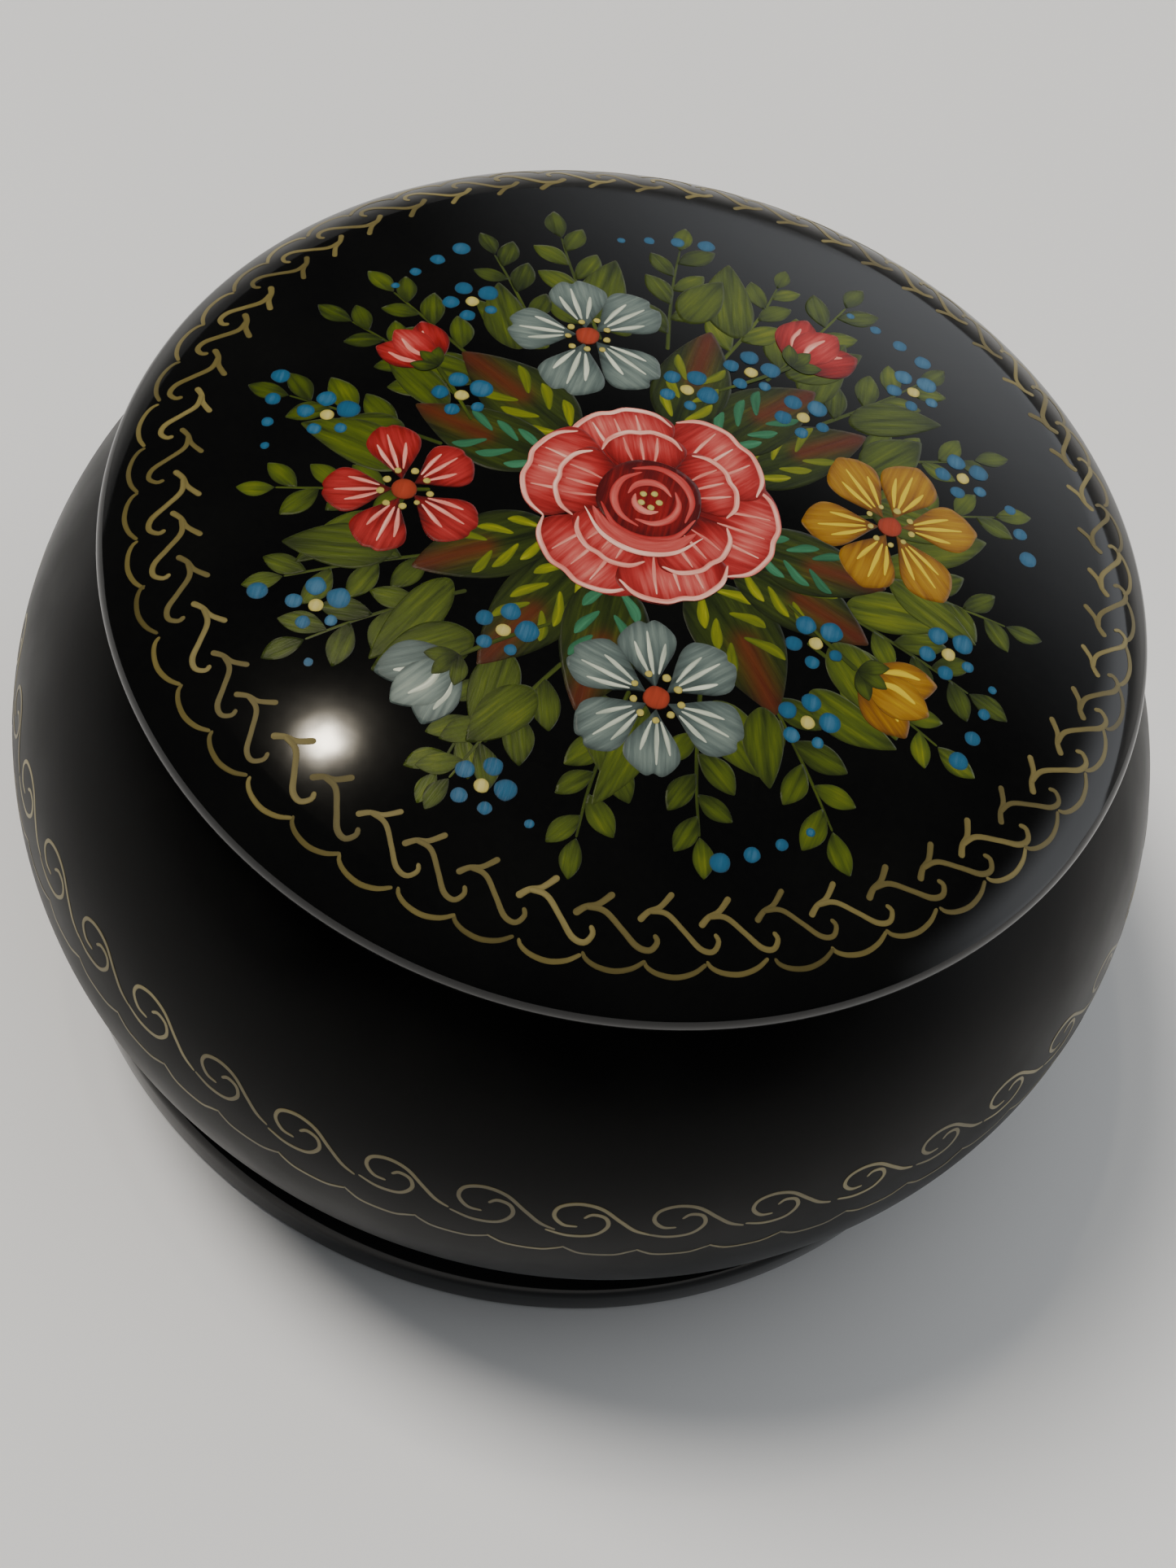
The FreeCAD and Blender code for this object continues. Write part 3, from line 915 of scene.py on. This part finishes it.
bright = Piece("bright_leaves", LID, LEAF, "lid")
teal = Piece("teal_strokes", LID, TEAL, "lid")
for k, angle in enumerate((36, 60, 88, 148, 168, 218, 242, 262, 308, 336, 352)):
    root = around(MIDDLE, angle, 8.0)
    veins, vein_tone = (teal, 0.6) if k % 3 == 1 else (bright, 0.86)
    leaf(bright, *root, angle + random.uniform(-8, 8), random.uniform(11.5, 13.0),
         random.uniform(3.0, 3.6), tone=0.27, blush=0.75, veins=veins, vein_tone=vein_tone)
bright.finish()
teal.finish()

calyxes = Piece("calyxes", LID, LEAF, "lid")
for name, material, angle, distance, size, tone in BUDS:
    piece = Piece(name, LID, material, "lid")
    bud(piece, calyxes, *around(MIDDLE, angle, distance), angle + random.uniform(-12, 12), size,
        tone)
    piece.finish()
calyxes.finish()

blue = Piece("forget_me_nots", LID, BLUE, "lid")
yolks = Piece("yellow_dots", LID, CREAM, "lid")
painted = 0
for k in range(BLUE_TRIES):
    spot = around(MIDDLE, GOLDEN_ANGLE * k, 12.5 + 16.5 * ((k * DISTANCE_STEP) % 1.0))
    if painted == BLUE_FLOWERS or not clear(spot, BLUE_REACH):
        continue
    painted += 1
    taken.append((spot, 3.2))
    turn = random.uniform(0, 72)
    for j in range(5):
        size = 0.95 - 0.1 * j
        blue.dot(*around(spot, turn + 72 * j, 1.75), size * random.uniform(0.92, 1.05),
                 tone=random.uniform(0.48, 0.62))
    yolks.dot(*spot, 0.6, tone=0.6)
# Short rows of blue dots that shrink as they curve inward, outside the leaves.
for k in range(9):
    start = 40.0 * k + 12
    for j in range(4):
        spot = around(MIDDLE, start + 4.6 * j, 31.2 - 0.35 * j)
        if clear(spot, 0.8):
            blue.dot(*spot, 0.8 - 0.14 * j, tone=0.54)
blue.finish()

hearts = Piece("blossom_hearts", LID, CENTRE, "lid")
for name, material, angle, distance, count, length, width, notch, tone in FLOWERS:
    centre = around(MIDDLE, angle, distance)
    piece = Piece(name, LID, material, "lid")
    open_flower(piece, centre, angle, count, length, width, notch, tone)
    piece.finish()
    hearts.dot(*centre, 1.05, tone=0.5)
    for j in range(9):
        yolks.dot(*around(centre, 40 * j, random.uniform(1.6, 2.1)), random.uniform(0.24, 0.36),
                  tone=0.5)
hearts.finish()

rose_piece = Piece("rose", LID, ROSE, "lid")
rose(rose_piece, MIDDLE, ROSE_SIZE)
rose_piece.finish()
for j in range(5):
    yolks.dot(*around(MIDDLE, 72 * j, 0.75), 0.3, tone=0.6)
yolks.finish()

# ---------------------------------------------------------------- floor, light and camera
FLOOR_BACK, CURVE_R = 1.2, 1.0         # metres
ROOM_COLOUR = (0.93, 0.96, 1.0, 1.0)
ROOM_LIGHT, BANK_LIGHT = 0.05, 1.6     # strengths of the dim room and of the bank of light
ROOM_SEEN = 0.74                       # strength of the room where it is seen past the floor
BANK_DIRECTION = (0.74, 0.67, 0.0)     # behind the box and to its right


def studio_floor():
    """Wide pale floor that curves up far behind the box."""
    rows = [(-14.0, 0.0), (-2.5, 0.0), (-1.0, 0.0), (0.0, 0.0), (FLOOR_BACK, 0.0)]
    rows += [(FLOOR_BACK + CURVE_R * math.sin(a), CURVE_R - CURVE_R * math.cos(a))
             for a in np.linspace(0.15, 1.5, 10)]
    columns = np.linspace(-9.0, 9.0, 13)
    vertices = [(x / MM, y / MM, z / MM) for y, z in rows for x in columns]
    wide = len(columns)
    faces = [[i * wide + j, i * wide + j + 1, (i + 1) * wide + j + 1, (i + 1) * wide + j]
             for i in range(len(rows) - 1) for j in range(wide - 1)]
    n = Nodes(bpy.data.materials.new("studio_floor"))
    shades = [(0.3, srgb(214, 214, 214)), (0.7, srgb(220, 220, 220))]
    n.set(Base_Color=n.ramp(n.noise(n.place(), 6.0, 3.0), shades), Roughness=0.6)
    return make_mesh("studio_floor", vertices, faces, n.owner)


def light_room():
    """World: a dim room with a pale bank of light low behind the box and to its right."""
    world = bpy.data.worlds.new("studio_light")
    bpy.context.scene.world = world
    n = Nodes(world, "Background")
    direction = n.add("ShaderNodeTexCoord").outputs["Generated"]
    up = n.add("ShaderNodeSeparateXYZ", {0: direction}).outputs["Z"]
    toward_bank = n.add("ShaderNodeVectorMath", {0: direction, 1: BANK_DIRECTION},
                        operation="DOT_PRODUCT").outputs["Value"]
    bank = n.math("MULTIPLY", n.fade(toward_bank, 0.35, 0.8), n.fade(up, 0.78, 0.4))
    light = n.math("MULTIPLY_ADD", bank, BANK_LIGHT, ROOM_LIGHT)
    # Seen directly, the room is as pale as the floor, so that no dark band shows past its edge.
    direct = n.add("ShaderNodeLightPath").outputs["Is Camera Ray"]
    seen = n.add("ShaderNodeMix", {"Factor": direct, "A": light, "B": ROOM_SEEN})
    n.set(Color=ROOM_COLOUR, Strength=seen.outputs["Result"])


def aim(name, light, position):
    """Light object at a position in metres, turned to face the box."""
    holder = bpy.data.objects.new(name, light)
    bpy.context.scene.collection.objects.link(holder)
    holder.location = position
    holder.rotation_euler = Vector(position).to_track_quat("Z", "Y").to_euler()
    return holder


def distant_light(name, position, spread, strength, colour):
    """Wide soft light that reaches the whole floor evenly and shows in no reflection."""
    light = bpy.data.lights.new(name, "SUN")
    light.angle = math.radians(spread)
    light.energy = strength
    light.color = colour
    aim(name, light, position).visible_glossy = False


def small_lamp(name, position, size, watts, colour):
    """Small square lamp, which the lid mirrors as a highlight."""
    light = bpy.data.lights.new(name, "AREA")
    light.size = size
    light.energy = watts
    light.color = colour
    aim(name, light, position)


def photo_camera():
    """Camera fitted to the photo by the outlines of the lid, bowl and foot."""
    data = bpy.data.cameras.new("camera")
    data.sensor_width = 36.0
    data.lens = 52.31
    camera = bpy.data.objects.new("camera", data)
    bpy.context.scene.collection.objects.link(camera)
    camera.location = (0.0, -0.11585, 0.19049)
    camera.rotation_euler = [math.radians(turn) for turn in (32.2017, -8.61545, 12.68363)]
    bpy.context.scene.camera = camera


studio_floor()
light_room()
distant_light("soft_left", (-0.62, 0.26, 1.05), spread=20.0, strength=3.45,
              colour=(1.0, 0.95, 0.88))
distant_light("soft_above", (0.05, 0.25, 2.0), spread=75.0, strength=1.1,
              colour=(0.95, 0.98, 1.0))
small_lamp("lamp_upper_left", (-0.66, 0.74, 2.34), size=0.07, watts=3.0, colour=(1.0, 0.9, 0.72))
photo_camera()
